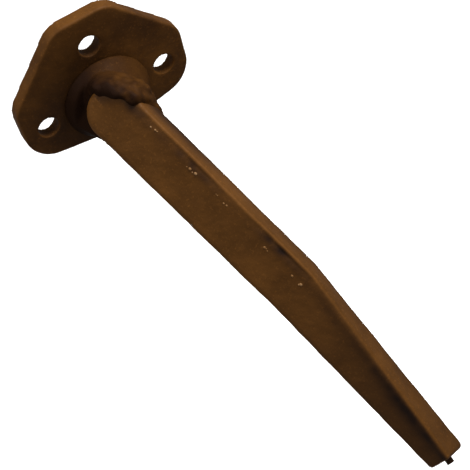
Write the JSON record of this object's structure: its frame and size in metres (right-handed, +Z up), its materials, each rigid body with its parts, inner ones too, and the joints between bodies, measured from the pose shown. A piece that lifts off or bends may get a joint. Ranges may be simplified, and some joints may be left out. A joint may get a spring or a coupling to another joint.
{
  "type": "bolt-on angled steel arm",
  "caption": "Clipped flange plate with through bolt holes and a flared round boss carrying a rigid tapered bar that slopes away at about 45 degrees, welded at the root.",
  "frame": {"origin": "centre of the bolt circle on the flange plate's back face", "axes": "+Z up the mounting face toward the top bolt hole, -Y straight out of the mounting face, +X toward the right-hand bolt hole"},
  "size_m": [0.1345, 0.2447, 0.2549],
  "materials": {
    "plate_steel": "satin",
    "boss_steel": "satin",
    "arm_steel": "satin",
    "weld_metal": "rough satin",
    "stud_steel": "satin"
  },
  "bodies": {
    "root": {"flange_plate": "plate_steel", "root_boss": "boss_steel", "arm_bar": "arm_steel", "neck_weld": "weld_metal", "tip_stud": "stud_steel"}
  },
  "joints": []
}
